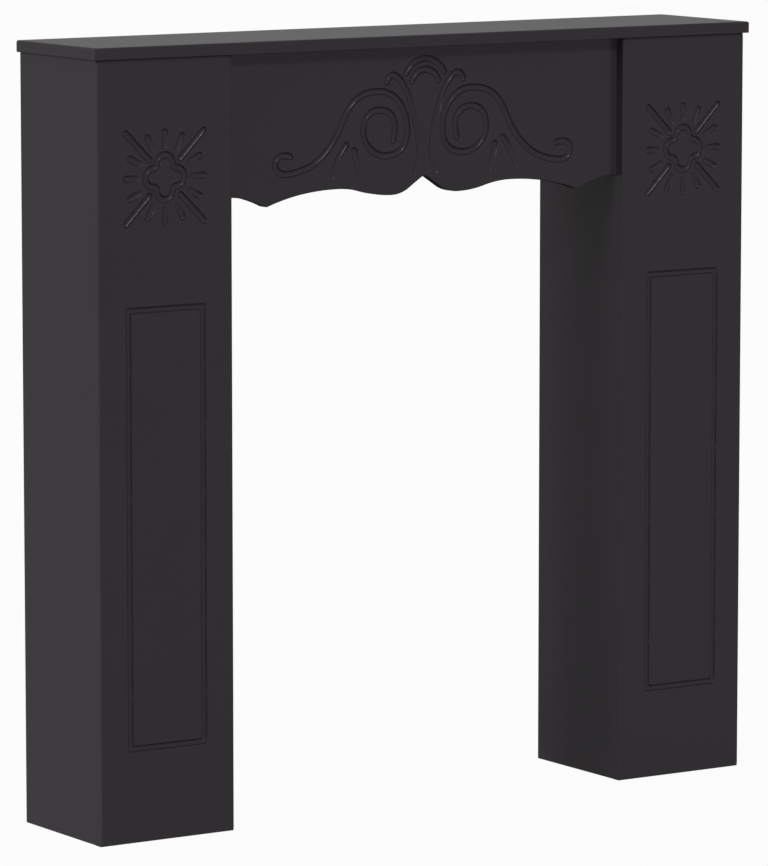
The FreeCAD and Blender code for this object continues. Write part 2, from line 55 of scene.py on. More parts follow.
# Camera of the photograph, without shift: place in metres, turn and tilt in degrees, lens in pixels.
PHOTO_HEIGHT = 866
CAMERA_PLACE = (-4.0503, -6.1727, 1.4593)
CAMERA_TURN = -33.19
CAMERA_TILT = 7.58
CAMERA_FOCAL = 5728
SENSOR = 36

# The carved boards are drawn in millimetres, with complex numbers for places: X to the right, Z up.

# Header: lower edge from its middle to its end, as share of the half opening, drop from the top, and
# the headings in degrees at which the edge arrives and leaves, 0 running outwards and 90 up.
HEADER_EDGE = (
    (0, 165.5, None, -32),
    (0.168, 189.5, 0, 0),
    (0.446, 178, 0, 0),
    (0.798, 196, -20, 27),
    (1, 181.5, -4, None),
)
HEADER_CORNER_CUT = 2.2
HEADER_EDGE_RADIUS = 2

# Strokes of the right half of the header's carving: distance from the middle, height above the
# carving's base, heading in degrees.
CARVING_RADIUS = 4.6
CARVING_DEPTH = 4.2
CARVING_FADED_DEPTH = 1.6
SCROLL_BASE_DROP = 161
SCROLL_STROKE = (
    (204, 27.5, 25), (214.5, 29, 0), (227, 18.5, -90), (211, 5.5, 180), (180, 11.5, 161),
    (150, 31.5, 136), (135, 50.5, 122), (120, 79, 120), (103, 97, 147), (72, 104.8, 180),
    (41, 91.5, 228), (27, 53, 270), (37, 29, 322), (60, 22.2, 0), (84, 32, 43),
    (94.5, 54, 90), (87, 75, 137), (71, 81, 180), (50, 71.5, 236), (46.3, 58, 270), (48.5, 42, 278),
)
STEM_STROKE = (
    (58.5, 116.5, 100), (50, 124.7, 180), (38, 118, 228), (27, 100, 246),
    (18.5, 77, 253), (12, 49, 260), (9, 24, 270), (16, 0, 292),
)
LEAF_STROKES = (
    ((120, 38.5, -48), (141, 0, -72)),
    ((108, 31, -100), (100, 0, -106)),
)
# Palmette arches over the middle: half width and height of the ends, height of the top.
PALMETTE_ARCHES = ((29, 126.5, 144), (20, 116, 130.5))

# Rosette at the top of each pilaster.
ROSETTE_DROP = 149
LOBE_RADIUS = 11.5
LOBE_OFFSET = 16.5
NOTCH_RADIUS = 6
RAY_START, RAY_END = 40, 56.5
RAY_DEPTH, RAY_FADED_DEPTH = 3.9, 2.4
DIAGONAL_START, DIAGONAL_END = 32, 79.5
RAY_SPREAD = 26.5

# Rectangular groove below the rosette, and the rounded edge of the pilaster's front.
FRAME_RADIUS = 4
FRAME_DEPTH = 3.8
FRAME_SIDE_MARGIN = 43.5
FRAME_TOP_DROP = 313
FRAME_BOTTOM_RISE = 120
FRONT_EDGE_RADIUS = 2

# Mesh of the carved faces: spacing along a line, along a straight run and on the plain field, the
# radius that paint and sanding leave on a groove's edge, and the flat strip that is kept beside it.
FINE_STEP = 0.28
KEEP_EVERY = 4
STRAIGHT_STEP = 5
FIELD_STEP = 9
GROOVE_ARRIS = 0.5
GUARD = 0.7
# Rows of points beside a groove's middle, as shares of the cutter's half width, and down a rounded edge,
# in degrees, and the fewest steps round a groove's end.
GROOVE_ROWS = (0.42, 0.7, 0.88, 1)
ROUNDING_ROWS = (72, 54, 36, 18, 0)
END_STEPS = 3
# Distance from its line within which a cut is looked for, the most that a point may differ from its
# cut's depth, the depth under which a face is plain, and the distance under which two points are one.
CUT_REACH = 3 * CARVING_RADIUS
LEVEL_TOLERANCE = 0.03
PLAIN_DEPTH = 1e-6
MERGE_DISTANCE = 0.05
# Turn in radians under which a line is straight, and the same for a pair of arcs, as its square.
STRAIGHT_TURN = 1e-6
STRAIGHT_PAIR = 1e-9
# The triangles cover the points' whole hull, and an edge is sharp from this angle on.
WHOLE_HULL = 0
SHARP_ANGLE = math.radians(38)

# Plain boards: rounding of the shelf's upper edges and of the arrises, in millimetres and steps.
SHELF_EDGE_RADIUS = 2.5
SHELF_EDGE_STEPS = 8
SHELF_ARRIS = 0.6
BOARD_ARRIS = 0.6
ARRIS_STEPS = 3

# A board's first material is its paint, the next are its raw face and its cut edges. A face looks along
# a direction from the one share of its normal on, and across it below the other.
RAW, CUT = 1, 2
FACING, EDGE_ON = 0.9, 0.1

# Finishes: a pattern is its clouds to a metre and their detail, a bump its strength and height in
# metres, and a pattern's value is usually between the low and the high value.
USUAL_LOW, USUAL_HIGH = 0.3, 0.7
PAINT_DARK, PAINT_LIGHT = (0.0265, 0.0230, 0.0265), (0.0275, 0.0240, 0.0275)
PAINT_CLOUD, PAINT_PEEL, PAINT_GRAIN = (7, 4), (420, 2), (1500, 2)
PAINT_BUMP = (0.12, 0.00004)
PAINT_ROUGHNESS = (0.5, 0.6)
PAINT_SPECULAR = 0.01
LACQUER = 0.133
LACQUER_ROUGHNESS = 0.19
LACQUER_IOR = 1.65
BOARD_TONES = ((0.24, 0.16, 0.098), (0.36, 0.25, 0.16), (0.47, 0.345, 0.23))
BOARD_STOPS = (0.25, 0.5, 0.75)
BOARD_FLECKS, BOARD_CLOUD = (900, 4), (25, 4)
BOARD_CLOUD_SHARE = 0.05
BOARD_BUMP = (0.4, 0.0002)
BOARD_ROUGHNESS = (0.9, 0.75)
BOARD_SPECULAR = 0.3
PINE_TONES = ((0.72, 0.54, 0.345), (0.64, 0.45, 0.265), (0.5, 0.31, 0.155))
PINE_RINGS = 9
BEECH_TONES = ((0.64, 0.455, 0.295), (0.57, 0.385, 0.235), (0.48, 0.3, 0.17))
BEECH_RINGS = 5
WOOD_STOPS = (0.05, 0.6, 0.98)
WOOD_BEND, WOOD_FIBRE = (14, 3), (1400, 3)
WOOD_BEND_STRETCH, WOOD_FIBRE_STRETCH = 0.06, 0.02
WOOD_FIBRE_SHARE = 0.14
WOOD_BUMP = (0.35, 0.0002)
WOOD_ROUGHNESS = (0.5, 0.68)
WOOD_SPECULAR = 0.35
ZINC_TONES = ((0.48, 0.49, 0.51), (0.62, 0.63, 0.65))
ZINC_STOPS = (0.1, 0.9)
ZINC_CRYSTALS = 420
ZINC_GRAIN = (900, 3)
ZINC_GRAIN_STRETCH = (1, 0.08, 1)
ZINC_BUMP = (0.2, 0.00008)
ZINC_ROUGHNESS = (0.28, 0.42)

# Studio: reach of the floor and of the camera in metres, the floor's colour, the share of plain white
# that the camera sees on it, and the light from all round.
FLOOR_REACH = 40
CLIP_END = 100
FLOOR_COLOUR = (0.4, 0.4, 0.4)
FLOOR_GLOW = 0.96
AMBIENT = 0.1
# Lamps: direction to the lamp, its width in degrees, its strength and whether gloss shows it.
LAMPS = {
    "key": ((-0.15, -0.74, 0.6), 14, 1.23, True),
    "side": ((-1, 0.03, 0.4), 25, 2.56, True),
    "fill": ((-0.25, -1, 0.06), 10, 1.06, False),
    "back": ((0.6, 0.8, 0.15), 40, 2.4, False),
}

# A cut on a face: the line that the cutter follows, as points and directions, the depth of the surface
# at a distance from a point of the line, and the points of the mesh that draw it with their depths.
Cut = namedtuple("Cut", "line depth_at spots spot_depths")


def dot(a, b):
    return (a * np.conj(b)).real


def unit(degrees):
    return complex(math.cos(math.radians(degrees)), math.sin(math.radians(degrees)))


def arc(start, leave, end):
    """Points and directions from start up to end on the arc that leaves start along a unit direction."""
    chord = end - start
    turn = 2 * np.angle(chord / leave)
    if abs(turn) < STRAIGHT_TURN:
        share = np.arange(0, 1, FINE_STEP / abs(chord))
        return start + chord * share, np.full(len(share), leave)
    length = abs(chord) * turn / 2 / math.sin(turn / 2)
    share = np.arange(0, 1, FINE_STEP / length)
    swing = np.exp(1j * turn * share)
    return start + leave * length * (swing - 1) / (1j * turn), leave * swing


def biarc(start, leave, end, arrive):
    """Two tangent arcs from start up to end that leave and arrive along unit directions."""
    chord = end - start
    both = leave + arrive
    turn = 2 * (1 - dot(leave, arrive))
    along = dot(chord, both)
    if turn < STRAIGHT_PAIR:
        reach = abs(chord) ** 2 / (4 * dot(chord, arrive))
    else:
        reach = (math.sqrt(along ** 2 + turn * abs(chord) ** 2) - along) / turn
    middle = (start + end + (leave - arrive) * reach) / 2
    crossing = chord - both * reach
    return [arc(start, leave, middle), arc(middle, crossing / abs(crossing), end)]


def run(nodes):
    """Points and directions of a smooth line through nodes of point and unit direction."""
    pieces = []
    for (start, leave), (end, arrive) in zip(nodes, nodes[1:]):
        pieces += biarc(start, leave, end, arrive)
    pieces.append((np.array([nodes[-1][0]]), np.array([nodes[-1][1]])))
    return tuple(np.concatenate(part) for part in zip(*pieces))


def straight(start, end):
    course = (end - start) / abs(end - start)
    return run([(start, course), (end, course)])


def mirrored(line):
    """The line on the other side of the middle."""
    points, directions = line
    return -np.conj(points), -np.conj(directions)


def flipped(line):
    """The line on the other side of the middle, drawn the other way."""
    points, directions = line
    return -np.conj(points[::-1]), np.conj(directions[::-1])


def groove_widths(depth, radius):
    """Distances from a groove's middle at which its eased edge starts and at which the face starts."""
    outer = np.sqrt((radius + GROOVE_ARRIS) ** 2 - (radius - depth + GROOVE_ARRIS) ** 2)
    return outer * radius / (radius + GROOVE_ARRIS), outer


def groove_level(distance, depth, radius):
    """Depth beside the middle of a groove: the cutter's arc, the eased edge, then the face."""
    inner, outer = groove_widths(depth, radius)
    ball = np.sqrt(np.maximum(radius ** 2 - distance ** 2, 0)) - (radius - depth)
    rest = np.maximum(GROOVE_ARRIS ** 2 - (outer - distance) ** 2, 0)
    eased = GROOVE_ARRIS - np.sqrt(rest)
    return np.where(distance < inner, ball, np.where(distance < outer, eased, 0.0))


def kept_samples(directions):
    """Places on a line that draw it: close together where it bends, far apart where it is straight."""
    last = len(directions) - 1
    straight_stride = int(STRAIGHT_STEP / FINE_STEP)
    places = []
    place = 0
    while place < last:
        places.append(place)
        ahead = directions[place:place + straight_stride + 1]
        bends = np.abs(ahead - directions[place]).max() > STRAIGHT_TURN
        place += KEEP_EVERY if bends else straight_stride
    if last - places[-1] < KEEP_EVERY / 2 and len(places) > 1:
        places.pop()
    return np.array(places + [last])


def groove(line, radius, depth, end_depth=None):
    """Round-nosed groove along a line; its depth may change evenly towards the far end."""
    points, directions = line
    chord = points[-1] - points[0]
    depths = np.full(len(points), float(depth))
    if end_depth is not None:
        depths += (end_depth - depth) * dot(points - points[0], chord) / abs(chord) ** 2

    def depth_at(distance, nearest):
        return groove_level(distance, depths[nearest], radius)

    kept = kept_samples(directions)
    inner, outer = groove_widths(depths[kept], radius)
    offsets = [inner * share for share in GROOVE_ROWS]
    offsets += [(inner + outer) / 2, outer, outer + GUARD]
    spots = [points[kept]]
    spot_offsets = [(np.zeros(len(kept)), kept)]
    for offset in offsets:
        for side in (1j, -1j):
            spots.append(points[kept] + directions[kept] * side * offset)
            spot_offsets.append((offset, kept))
    for end, outward in ((0, -directions[0]), (len(points) - 1, directions[-1])):
        for offset in offsets:
            radius_here = offset[0 if end == 0 else -1]
            count = max(END_STEPS, math.ceil(math.pi * radius_here / (FINE_STEP * KEEP_EVERY)))
            angles = (np.arange(1, count) / count - 0.5) * math.pi
            spots.append(points[end] + outward * np.exp(1j * angles) * radius_here)
            spot_offsets.append((np.full(count - 1, radius_here), np.full(count - 1, end)))
    levels = [depth_at(offset, places) for offset, places in spot_offsets]
    return Cut(line, depth_at, np.concatenate(spots), np.concatenate(levels))


def rounded_edge(line, radius, every):
    """Rounding of a face's edge along a line that has the face on its left, and the rim's points."""
    points, directions = line
    kept = np.append(np.arange(0, len(points) - 1, every), len(points) - 1)

    def depth_at(distance, nearest):
        return radius - np.sqrt(np.maximum(radius ** 2 - np.maximum(radius - distance, 0) ** 2, 0))

    offsets = [radius * (1 - math.sin(math.radians(angle))) for angle in ROUNDING_ROWS]
    offsets.append(radius + GUARD)
    spots = np.concatenate([points[kept] + directions[kept] * 1j * offset for offset in offsets])
    levels = np.concatenate([depth_at(np.full(len(kept), offset), kept) for offset in offsets])
    return Cut(line, depth_at, spots, levels), points[kept]


def levels_at(places, cuts):
    """Depth of the carved surface at each place, by its distance from the cuts' lines."""
    deepest = np.zeros(len(places))
    for cut in cuts:
        points, directions = cut.line
        across, up = points.real, points.imag
        inside = (
            (places.real > across.min() - CUT_REACH) & (places.real < across.max() + CUT_REACH)
            & (places.imag > up.min() - CUT_REACH) & (places.imag < up.max() + CUT_REACH)
        )
        chosen = np.flatnonzero(inside)
        if not len(chosen):
            continue
        tree = KDTree(len(points))
        for number, point in enumerate(points):
            tree.insert((point.real, point.imag, 0), number)
        tree.balance()
        nearest = np.array([tree.find((place.real, place.imag, 0))[1] for place in places[chosen]])
        away = places[chosen] - points[nearest]
        along = dot(away, directions[nearest])
        beyond = ((nearest == 0) & (along < 0)) | ((nearest == len(points) - 1) & (along > 0))
        distance = np.abs(away - np.where(beyond, 0, along) * directions[nearest])
        deepest[chosen] = np.maximum(deepest[chosen], cut.depth_at(distance, nearest))
    return deepest


def field(outline):
    """Points spread evenly over an outline's box."""
    rows = np.arange(outline.imag.min() + FIELD_STEP / 2, outline.imag.max(), FIELD_STEP)
    columns = np.arange(outline.real.min() + FIELD_STEP / 2, outline.real.max(), FIELD_STEP)
    across, up = np.meshgrid(columns, rows)
    across[1::2] += FIELD_STEP / 2
    return (across + 1j * up).ravel()


def shaded_smooth(mesh):
    """The mesh with smooth shading between its sharp edges."""
    mesh.polygons.foreach_set("use_smooth", [True] * len(mesh.polygons))
    mesh.set_sharp_from_angle(angle=SHARP_ANGLE)
    return mesh


def rim_of(faces):
    """Vertices around a sheet of faces, in the order in which the faces run."""
    sides = {side for face in faces for side in zip(face, face[1:] + face[:1])}
    ahead_of = {start: end for start, end in sides if (end, start) not in sides}
    rim = [min(ahead_of)]
    while ahead_of[rim[-1]] != rim[0]:
        rim.append(ahead_of[rim[-1]])
    return rim


def carved_board(name, outline, cuts, front, back):
    """Closed board between two depths in metres, whose front face is carved by the cuts."""
    spots = np.concatenate([cut.spots for cut in cuts])
    spots.real = np.clip(spots.real, outline.real.min(), outline.real.max())
    spots.imag = np.clip(spots.imag, outline.imag.min(), outline.imag.max())
    wanted = np.concatenate([cut.spot_depths for cut in cuts])
    shown = np.abs(levels_at(spots, cuts) - wanted) < LEVEL_TOLERANCE
    plain = field(outline)
    plain = plain[levels_at(plain, cuts) < PLAIN_DEPTH]
    places = np.concatenate([outline, spots[shown], plain])
    loop = list(range(len(outline)))
    flat, _, triangles, _, _, insides = delaunay_2d_cdt(
        [Vector((place.real, place.imag)) for place in places],
        [], [loop], WHOLE_HULL, MERGE_DISTANCE, True)
    chosen = [triangle for triangle, inside in zip(triangles, insides) if inside]
    used, faces = np.unique(chosen, return_inverse=True)
    faces = faces.reshape(-1, 3).tolist()
    flat_places = np.array([complex(*flat[number]) for number in used])
    depths = levels_at(flat_places, cuts)
    vertices = [
        (place.real * MM, front + depth * MM, place.imag * MM)
        for place, depth in zip(flat_places, depths)
    ]
    first_back = len(vertices)
    rim = rim_of(faces)
    vertices += [(flat_places[number].real * MM, back, flat_places[number].imag * MM) for number in rim]
    for here in range(len(rim)):
        ahead = (here + 1) % len(rim)
        faces.append([rim[ahead], rim[here], first_back + here, first_back + ahead])
    faces.append([first_back + here for here in reversed(range(len(rim)))])
    mesh = bpy.data.meshes.new(name)
    mesh.from_pydata(vertices, [], faces)
    mesh.validate()
    return shaded_smooth(mesh)


def header_outline(half, top):
    """Lower edge of the header from left to right, with its points and tips eased."""
    nodes = [
        (complex(share * half, top - drop), arrive, leave)
        for share, drop, arrive, leave in HEADER_EDGE
    ]
    runs = []
    for (start, _, leave), (end, arrive, _) in zip(nodes, nodes[1:]):
        piece = run([(start, unit(leave)), (end, unit(arrive))])
        if leave == 0:
            runs[-1] = tuple(np.concatenate(part) for part in zip(runs[-1], piece))
        else:
            runs.append(piece)
    runs = [flipped(piece) for piece in reversed(runs)] + runs
    joined = runs[0]
    for following in runs[1:]:
        corner = following[0][0]
        before = tuple(part[np.abs(joined[0] - corner) > HEADER_CORNER_CUT] for part in joined)
        after = tuple(part[np.abs(following[0] - corner) > HEADER_CORNER_CUT] for part in following)
        bend = run([(before[0][-1], before[1][-1]), (after[0][0], after[1][0])])
        joined = tuple(np.concatenate(part) for part in zip(before, bend, after))
    apart = np.append(True, np.abs(np.diff(joined[0])) > FINE_STEP / 4)
    return tuple(part[apart] for part in joined)


def header_cuts(top):
    """Scrolls, stems and leaves of both halves and the palmette between them."""
    base = top - SCROLL_BASE_DROP

    def drawn(points):
        return run([(complex(across, base + up), unit(degrees)) for across, up, degrees in points])

    cuts = []
    scroll = drawn(SCROLL_STROKE)
    faded = [drawn(stroke) for stroke in (STEM_STROKE, *LEAF_STROKES)]
    for side in (lambda line: line, mirrored):
        cuts.append(groove(side(scroll), CARVING_RADIUS, CARVING_DEPTH))
        for line in faded:
            cuts.append(groove(side(line), CARVING_RADIUS, CARVING_DEPTH, CARVING_FADED_DEPTH))
    for across, end_height, top_height in PALMETTE_ARCHES:
        rise = top_height - end_height
        lean = math.degrees(2 * math.atan2(rise, across))
        ends = [
            (complex(side * across, base + end_height), unit(-side * lean))
            for side in (-1, 1)
        ]
        cuts.append(groove(run(ends), CARVING_RADIUS, CARVING_DEPTH))
    return cuts


def rosette_cuts(centre):
    """Quatrefoil with four long diagonal rays and twelve short ones between them."""
    reach = LOBE_RADIUS + NOTCH_RADIUS
    notch_offset = (LOBE_OFFSET + math.sqrt(2 * reach ** 2 - LOBE_OFFSET ** 2)) / 2
    notch = notch_offset * (1 + 1j)
    contact = LOBE_OFFSET + (notch - LOBE_OFFSET) / reach * LOBE_RADIUS
    away = (contact - LOBE_OFFSET) / LOBE_RADIUS * 1j
    quarter = [
        (complex(LOBE_OFFSET + LOBE_RADIUS, 0), 1j),
        (contact, away),
        (1j * np.conj(contact), -1j * np.conj(away)),
        (complex(0, LOBE_OFFSET + LOBE_RADIUS), -1 + 0j),
    ]
    cuts = []
    for turn in (1, 1j, -1, -1j):
        cuts.append(groove(
            run([(centre + turn * point, turn * course) for point, course in quarter]),
            CARVING_RADIUS, CARVING_DEPTH))
        diagonal = turn * unit(45)
        cuts.append(groove(
            straight(centre + diagonal * DIAGONAL_START, centre + diagonal * DIAGONAL_END),
            CARVING_RADIUS, CARVING_DEPTH))
        for spread in (-RAY_SPREAD, 0, RAY_SPREAD):
            course = turn * unit(spread)
            cuts.append(groove(
                straight(centre + course * RAY_END, centre + course * RAY_START),
                CARVING_RADIUS, RAY_DEPTH, RAY_FADED_DEPTH))
    return cuts


def frame_cuts(middle, half_width, bottom, top):
    """Rectangle of four straight grooves that meet at its corners."""
    corners = [
        complex(middle + side * half_width, height)
        for side, height in ((-1, bottom), (1, bottom), (1, top), (-1, top))
    ]
    return [
        groove(straight(start, end), FRAME_RADIUS, FRAME_DEPTH)
        for start, end in zip(corners, corners[1:] + corners[:1])
    ]


def finished(node, mesh, materials):
    """Shows the mesh in place of a CAD node; its faces pick from the materials."""
    piece = bpy.data.objects.new(f"{node}_finished", mesh)
    for finish in materials:
        mesh.materials.append(finish)
    bpy.context.scene.collection.objects.link(piece)
    piece.modifiers.new("even_shading", "WEIGHTED_NORMAL").keep_sharp = True
    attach(piece, "root")
    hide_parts(node)
    return piece


def leave_raw(mesh, directions):
    """Leaves the faces unpainted that look along one of the directions."""
    for face in mesh.polygons:
        if any(face.normal.dot(direction) > FACING for direction in directions):
            face.material_index = RAW


def paint_cut_edges(mesh):
    """Gives the faces between the front and the back the paint of a cut edge."""
    for face in mesh.polygons:
        if abs(face.normal.y) < EDGE_ON:
            face.material_index = CUT


def header():
    low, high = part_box("header_panel")
    half = high.x / MM
    top = high.z / MM
    edge, lower = rounded_edge(header_outline(half, top), HEADER_EDGE_RADIUS, KEEP_EVERY)
    outline = np.concatenate([lower, [complex(half, top), complex(-half, top)]])
    return carved_board("header", outline, header_cuts(top) + [edge], low.y, high.y)


def pilaster_front(node):
    low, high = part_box(node)
    left, right, bottom, top = low.x / MM, high.x / MM, low.z / MM, high.z / MM
    middle = (left + right) / 2
    corners = [complex(left, bottom), complex(right, bottom), complex(right, top), complex(left, top)]
    edges = []
    outline = []
    for start, end in zip(corners, corners[1:] + corners[:1]):
        edge, rim = rounded_edge(straight(start, end), FRONT_EDGE_RADIUS, int(STRAIGHT_STEP / FINE_STEP))
        edges.append(edge)
        outline.append(rim[:-1])
    cuts = rosette_cuts(complex(middle, top - ROSETTE_DROP))
    half_width = (right - left) / 2 - FRAME_SIDE_MARGIN
    cuts += frame_cuts(middle, half_width, bottom + FRAME_BOTTOM_RISE, top - FRAME_TOP_DROP)
    return carved_board(node, np.concatenate(outline), cuts + edges, low.y, high.y)


def plain_board(node, radii):
    """Board over a node's box; each function says which edges a radius in millimetres rounds in steps."""
    low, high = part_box(node)
    board = bmesh.new()
    bmesh.ops.create_cube(board, size=1)
    for vertex in board.verts:
        vertex.co = [low[axis] if vertex.co[axis] < 0 else high[axis] for axis in range(3)]
    for radius, steps, chosen in radii:
        edges = []
        for edge in board.edges:
            start, end = edge.verts
            if chosen((start.co + end.co) / 2, low, high):
                edges.append(edge)
        bmesh.ops.bevel(
            board, geom=edges, offset=radius * MM, segments=steps, profile=0.5, affect="EDGES")
    mesh = bpy.data.meshes.new(node)
    board.to_mesh(mesh)
    board.free()
    return shaded_smooth(mesh)


def new_material(name):
    """Material, its tree, its shader and the place on the object in metres."""
    made = bpy.data.materials.new(name)
    made.use_nodes = True
    tree = made.node_tree
    place = add_node(tree, "ShaderNodeTexCoord").outputs["Object"]
    return made, tree, tree.nodes["Principled BSDF"], place


def add_node(tree, kind, inputs=None, **settings):
    node = tree.nodes.new(kind)
    for key, value in settings.items():
        setattr(node, key, value)
    for key, value in (inputs or {}).items():
        if isinstance(value, bpy.types.NodeSocket):
            tree.links.new(value, node.inputs[key])
        else:
            node.inputs[key].default_value = value
    return node


def math_node(tree, operation, first, second):
    """What an operation makes of two values."""
    return add_node(tree, "ShaderNodeMath", {0: first, 1: second}, operation=operation).outputs["Value"]


def noise(tree, place, scale, detail, stretch=None):
    """Cloudy pattern with about scale clouds to a metre, drawn out along the axes with a small stretch."""
    if stretch:
        place = add_node(tree, "ShaderNodeMapping", {"Vector": place, "Scale": stretch}).outputs["Vector"]
    inputs = {"Vector": place, "Scale": scale, "Detail": detail}
    return add_node(tree, "ShaderNodeTexNoise", inputs).outputs["Fac"]


def stretch_along(axis, share):
    """Stretch that draws a pattern out along one axis."""
    return [share if number == axis else 1 for number in range(3)]


def between(tree, value, low, high):
    """Number from low to high as the pattern's value goes from its usual low to its usual high."""
    limits = {"Value": value, "From Min": USUAL_LOW, "From Max": USUAL_HIGH, "To Min": low, "To Max": high}
    return add_node(tree, "ShaderNodeMapRange", limits).outputs["Result"]


def tinted(tree, value, stops, colours):
    """Colour that goes through the colours as the pattern's value goes through the stops."""
    ramp = add_node(tree, "ShaderNodeValToRGB", {"Fac": value})
    elements = ramp.color_ramp.elements
    while len(elements) < len(stops):
        elements.new(0.5)
    for element, stop, colour in zip(elements, stops, colours):
        element.position = stop
        element.color = (*colour, 1)
    return ramp.outputs["Color"]


def bump(tree, height, strength, distance):
    inputs = {"Height": height, "Strength": strength, "Distance": distance}
    return add_node(tree, "ShaderNodeBump", inputs).outputs["Normal"]


def charcoal_paint(name, lacquer, specular):
    """Sprayed paint under a thin lacquer: faint cloudiness, a fine peel and a light grain in its gloss."""
    made, tree, shader, place = new_material(name)
    cloud = noise(tree, place, *PAINT_CLOUD)
    peel = noise(tree, place, *PAINT_PEEL)
    grain = noise(tree, place, *PAINT_GRAIN)
    colour = tinted(tree, cloud, (USUAL_LOW, USUAL_HIGH), (PAINT_DARK, PAINT_LIGHT))
    tree.links.new(colour, shader.inputs["Base Color"])
    tree.links.new(between(tree, grain, *PAINT_ROUGHNESS), shader.inputs["Roughness"])
    tree.links.new(bump(tree, peel, *PAINT_BUMP), shader.inputs["Normal"])
    shader.inputs["Specular IOR Level"].default_value = specular
    shader.inputs["Coat Weight"].default_value = lacquer
    shader.inputs["Coat Roughness"].default_value = LACQUER_ROUGHNESS
    shader.inputs["Coat IOR"].default_value = LACQUER_IOR
    return made


def raw_board():
    """Fibreboard: pressed fibres as fine flecks over a warm brown."""
    made, tree, shader, place = new_material("raw_board")
    flecks = noise(tree, place, *BOARD_FLECKS)
    cloud = noise(tree, place, *BOARD_CLOUD)
    shade = between(tree, cloud, -BOARD_CLOUD_SHARE, BOARD_CLOUD_SHARE)
    colour = tinted(tree, math_node(tree, "ADD", flecks, shade), BOARD_STOPS, BOARD_TONES)
    tree.links.new(colour, shader.inputs["Base Color"])
    tree.links.new(between(tree, flecks, *BOARD_ROUGHNESS), shader.inputs["Roughness"])
    tree.links.new(bump(tree, flecks, *BOARD_BUMP), shader.inputs["Normal"])
    shader.inputs["Specular IOR Level"].default_value = BOARD_SPECULAR
    return made


def wood(name, along, tones, rings):
    """Planed timber with its grain along an axis: growth rings and fibres."""
    made, tree, shader, place = new_material(name)
    bend = noise(tree, place, *WOOD_BEND, stretch_along(along, WOOD_BEND_STRETCH))
    fibre = noise(tree, place, *WOOD_FIBRE, stretch_along(along, WOOD_FIBRE_STRETCH))
    ring = math_node(tree, "PINGPONG", math_node(tree, "MULTIPLY", bend, rings), 1)
    shade = between(tree, fibre, -WOOD_FIBRE_SHARE, WOOD_FIBRE_SHARE)
    colour = tinted(tree, math_node(tree, "ADD", ring, shade), WOOD_STOPS, tones)
    tree.links.new(colour, shader.inputs["Base Color"])
    tree.links.new(between(tree, fibre, *WOOD_ROUGHNESS), shader.inputs["Roughness"])
    tree.links.new(bump(tree, fibre, *WOOD_BUMP), shader.inputs["Normal"])
    shader.inputs["Specular IOR Level"].default_value = WOOD_SPECULAR
    return made


def zinc_steel():
    """Zinc-plated sheet: mottled crystals and a fine drawn grain."""
    made, tree, shader, place = new_material("zinc_steel")
    pattern = {"Vector": place, "Scale": ZINC_CRYSTALS}
    crystals = add_node(tree, "ShaderNodeTexVoronoi", pattern).outputs["Color"]
    patch = add_node(tree, "ShaderNodeSeparateColor", {"Color": crystals}).outputs["Red"]
    drawn = noise(tree, place, *ZINC_GRAIN, ZINC_GRAIN_STRETCH)
    colour = tinted(tree, patch, ZINC_STOPS, ZINC_TONES)
    tree.links.new(colour, shader.inputs["Base Color"])
    tree.links.new(between(tree, drawn, *ZINC_ROUGHNESS), shader.inputs["Roughness"])
    tree.links.new(bump(tree, drawn, *ZINC_BUMP), shader.inputs["Normal"])
    shader.inputs["Metallic"].default_value = 1
    return made


def floor():
    """Pale floor that is white to the camera apart from the object's shadow."""
    mesh = bpy.data.meshes.new("floor")
    signs = ((-1, -1), (1, -1), (1, 1), (-1, 1))
    corners = [(across * FLOOR_REACH, back * FLOOR_REACH, 0) for across, back in signs]
    mesh.from_pydata(corners, [], [(0, 1, 2, 3)])
    piece = bpy.data.objects.new("floor", mesh)
    bpy.context.scene.collection.objects.link(piece)
    made = bpy.data.materials.new("floor")
    made.use_nodes = True
    tree = made.node_tree
    tree.nodes.clear()
    matt = add_node(tree, "ShaderNodeBsdfDiffuse", {"Color": (*FLOOR_COLOUR, 1)}).outputs["BSDF"]
    glow = add_node(tree, "ShaderNodeEmission", {"Color": (1, 1, 1, 1), "Strength": 1}).outputs["Emission"]
    share = math_node(tree, "MULTIPLY", seen_directly(tree), FLOOR_GLOW)
    mixed = add_node(tree, "ShaderNodeMixShader", {0: share, 1: matt, 2: glow}).outputs["Shader"]
    add_node(tree, "ShaderNodeOutputMaterial", {"Surface": mixed})
    mesh.materials.append(made)


def seen_directly(tree):
    """1 for rays from the camera and for what gloss and glass show of it, otherwise 0."""
    path = add_node(tree, "ShaderNodeLightPath").outputs
    in_gloss = math_node(tree, "MAXIMUM", path["Is Glossy Ray"], path["Is Transmission Ray"])
    return math_node(tree, "MAXIMUM", path["Is Camera Ray"], in_gloss)


def surroundings():
    """White studio to the camera, plain soft light on the object."""
    world = bpy.data.worlds.new("studio")
    world.use_nodes = True
    tree = world.node_tree
    background = tree.nodes["Background"]
    background.inputs["Color"].default_value = (1, 1, 1, 1)
    strength = add_node(
        tree, "ShaderNodeMapRange",
        {"Value": seen_directly(tree), "To Min": AMBIENT, "To Max": 1}).outputs["Result"]
    tree.links.new(strength, background.inputs["Strength"])
    bpy.context.scene.world = world


def lamp(name, course, spread, strength, in_gloss):
    """Broad far lamp, even over the whole object."""
    light = bpy.data.lights.new(name, "SUN")
    light.energy = strength
    light.angle = math.radians(spread)
    piece = bpy.data.objects.new(name, light)
    piece.rotation_euler = Vector(course).to_track_quat("Z", "Y").to_euler()
    piece.visible_glossy = in_gloss
    bpy.context.scene.collection.objects.link(piece)


